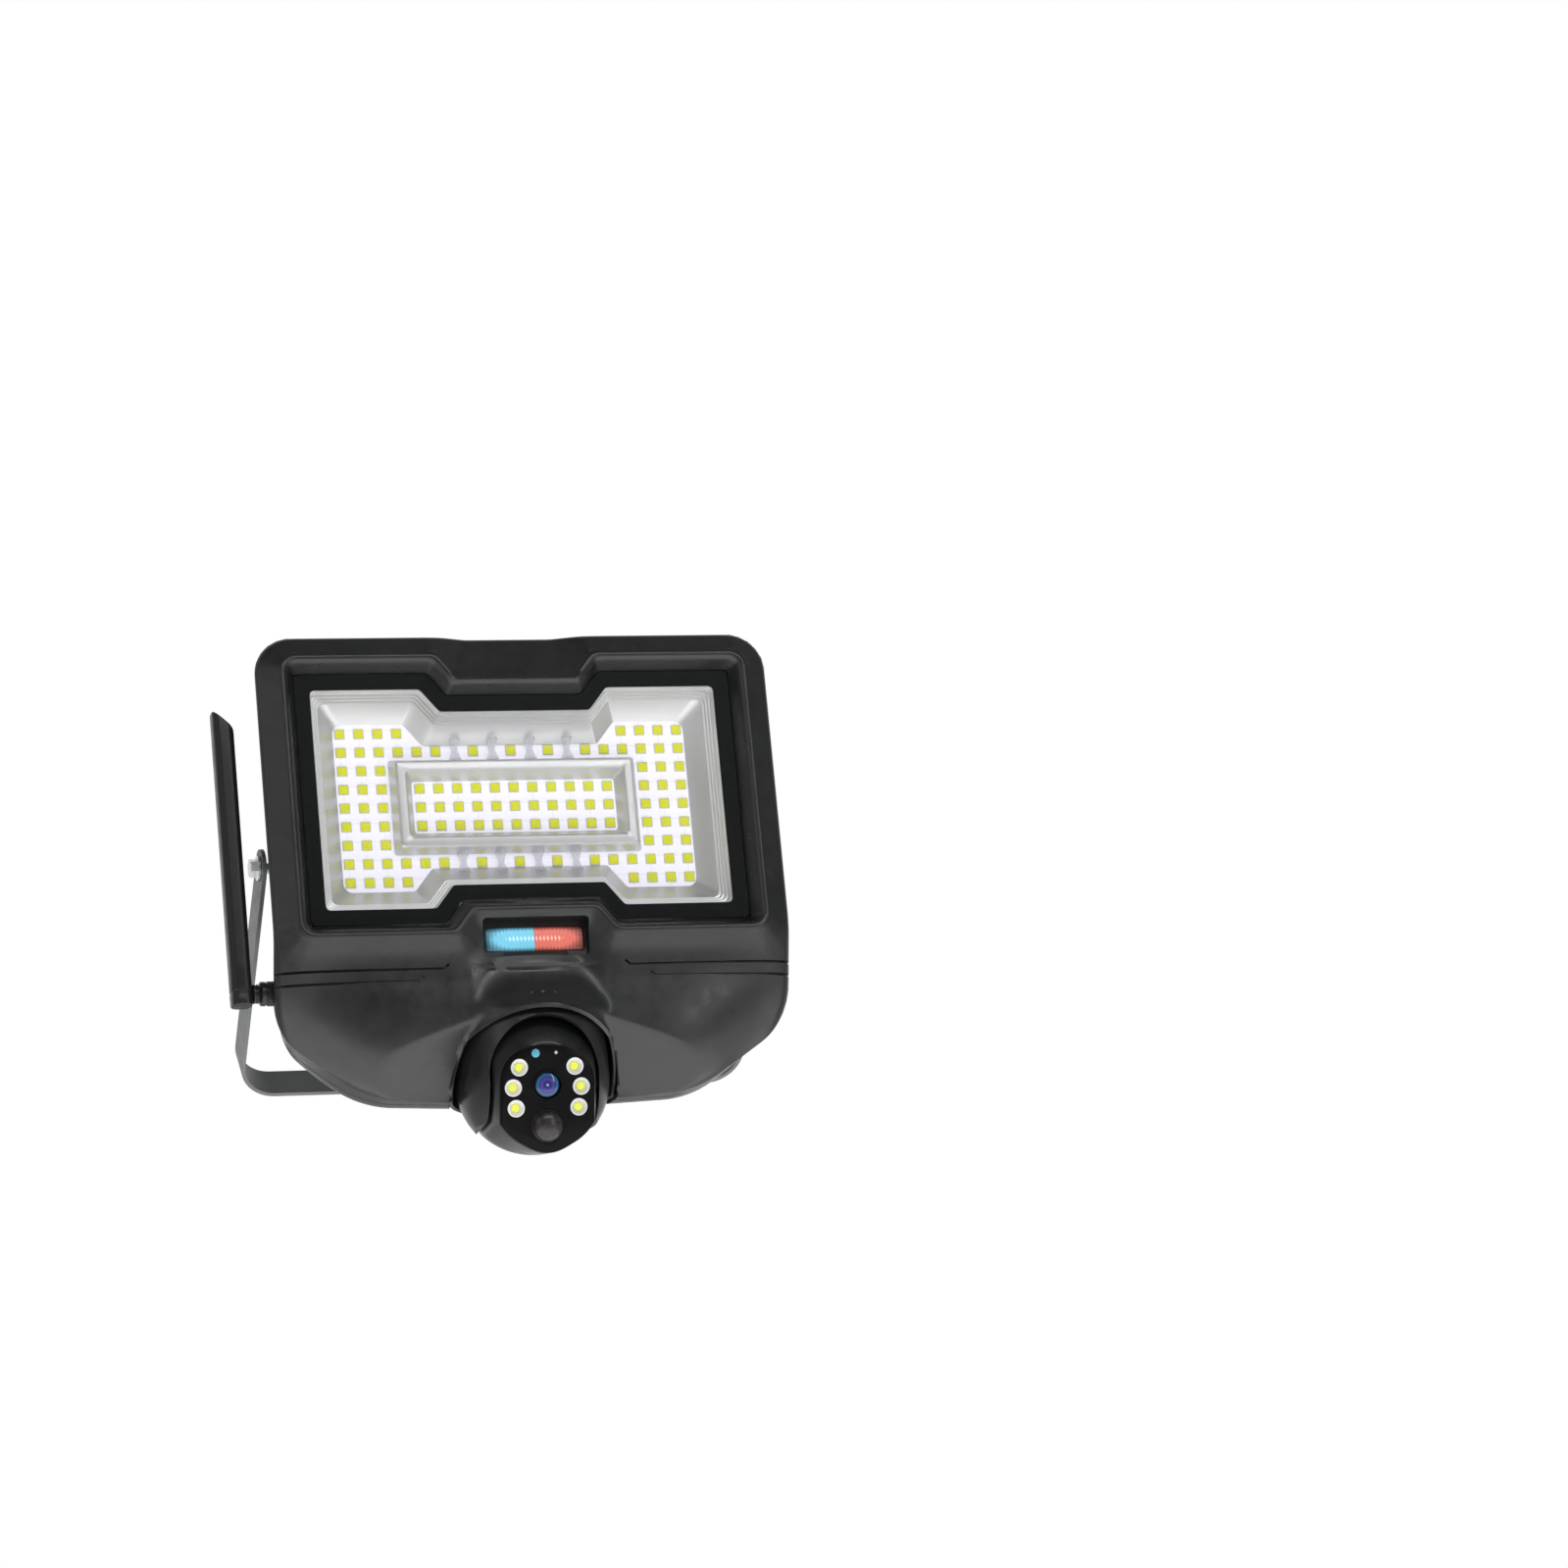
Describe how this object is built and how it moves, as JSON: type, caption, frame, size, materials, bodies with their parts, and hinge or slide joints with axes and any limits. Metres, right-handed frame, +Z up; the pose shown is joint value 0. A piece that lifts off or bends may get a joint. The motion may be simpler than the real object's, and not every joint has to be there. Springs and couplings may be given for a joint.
{
  "type": "floodlight security camera",
  "caption": "LED floodlight head on a U-bracket with a warning light, swivel antenna and a pan-and-tilt camera ball in a turret below the lamp.",
  "frame": {"origin": "centre of the bracket's middle wall hole, on the face that meets the wall", "axes": "+X to the right seen from the front, -Y the way the lamp faces, +Z up with the head upright"},
  "size_m": [0.2734, 0.1365, 0.2509],
  "materials": {
    "bracket_steel": "satin grey powder coat",
    "black_plastic": "fine moulded texture",
    "dark_plastic": "smooth matte",
    "black_rubber": "matte",
    "zinc_steel": "bright zinc",
    "clear_glass": "clear tempered",
    "black_border": "black print under glass",
    "silver_reflector": "vacuum metallised",
    "clear_plastic": "clear moulded",
    "white_board": "white solder mask",
    "phosphor_yellow": "phosphor",
    "aluminium": "bare",
    "blue_lens": "lit ribbed lens",
    "red_lens": "lit ribbed lens",
    "green_board": "solder mask",
    "battery_wrap": "shrink wrap",
    "brass_bush": "turned",
    "gloss_black": "polished",
    "coated_lens": "coated",
    "smoked_plastic": "smoked dome",
    "cyan_window": "tinted",
    "pale_light": "clear"
  },
  "bodies": {
    "bracket": {"mounting_bracket": "bracket_steel"},
    "head": {"front_housing": "black_plastic", "rear_housing": "black_plastic", "housing_gasket": "black_rubber", "housing_screws": "zinc_steel", "glass_panel": "clear_glass", "glass_gasket": "black_border", "outer_reflector": "silver_reflector", "inner_reflector": "silver_reflector", "reflector_ribs": "clear_plastic", "led_board": "white_board", "flood_leds": "phosphor_yellow", "led_board_screws": "zinc_steel", "heat_sink": "aluminium", "alarm_lens_blue": "blue_lens", "alarm_lens_red": "red_lens", "alarm_board": "green_board", "alarm_leds": "phosphor_yellow", "microphone": "zinc_steel", "speaker": "dark_plastic", "controller_board": "green_board", "controller_chips": "dark_plastic", "battery_cells": "battery_wrap", "battery_tray": "dark_plastic", "solar_socket": "dark_plastic", "solar_socket_nut": "zinc_steel", "vent_plug": "black_rubber", "card_cover": "black_rubber", "button_switch": "zinc_steel", "pivot_bolts": "zinc_steel", "pivot_washers": "zinc_steel", "pivot_nuts": "zinc_steel", "pan_motor": "zinc_steel", "pan_bearing": "brass_bush", "antenna_socket": "dark_plastic"},
    "button": {"power_button": "dark_plastic"},
    "yoke": {"yoke": "black_plastic", "pan_shaft": "zinc_steel", "tilt_motor": "zinc_steel", "yoke_screws": "zinc_steel"},
    "camera": {"ball_front_shell": "black_plastic", "ball_rear_shell": "black_plastic", "face_plate": "gloss_black", "lens_barrel": "dark_plastic", "lens_glass": "coated_lens", "spot_leds": "phosphor_yellow", "spot_lenses": "clear_plastic", "pir_dome": "smoked_plastic", "pir_sensor": "zinc_steel", "light_sensor_window": "cyan_window", "status_light": "pale_light", "camera_board": "green_board", "tilt_axle": "zinc_steel"},
    "antenna": {"antenna_knuckle": "dark_plastic", "antenna_paddle": "dark_plastic", "antenna_element": "brass_bush"}
  },
  "joints": [
    {"name": "bracket_tilt", "type": "hinge", "parent": "bracket", "child": "head", "pos_m": [0, -0.09729, 0.08163], "axis": [1, 0, 0], "range_deg": [-115, 20]},
    {"name": "camera_pan", "type": "hinge", "parent": "head", "child": "yoke", "pos_m": [0, -0.09029, -0.02337], "axis": [0, 0, 1], "range_deg": [-170, 170]},
    {"name": "camera_tilt", "type": "hinge", "parent": "yoke", "child": "camera", "pos_m": [0, -0.09029, -0.02337], "axis": [1, 0, 0], "range_deg": [-18, 70]},
    {"name": "antenna_swivel", "type": "hinge", "parent": "head", "child": "antenna", "pos_m": [-0.132, -0.10029, 0.01963], "axis": [1, 0, 0], "range_deg": [-90, 90]},
    {"name": "power_press", "type": "slide", "parent": "head", "child": "button", "axis": [0, -1, 0], "range_m": [0, 0.0012], "stiffness_N_per_m": 400, "springref_m": -0.0015}
  ]
}
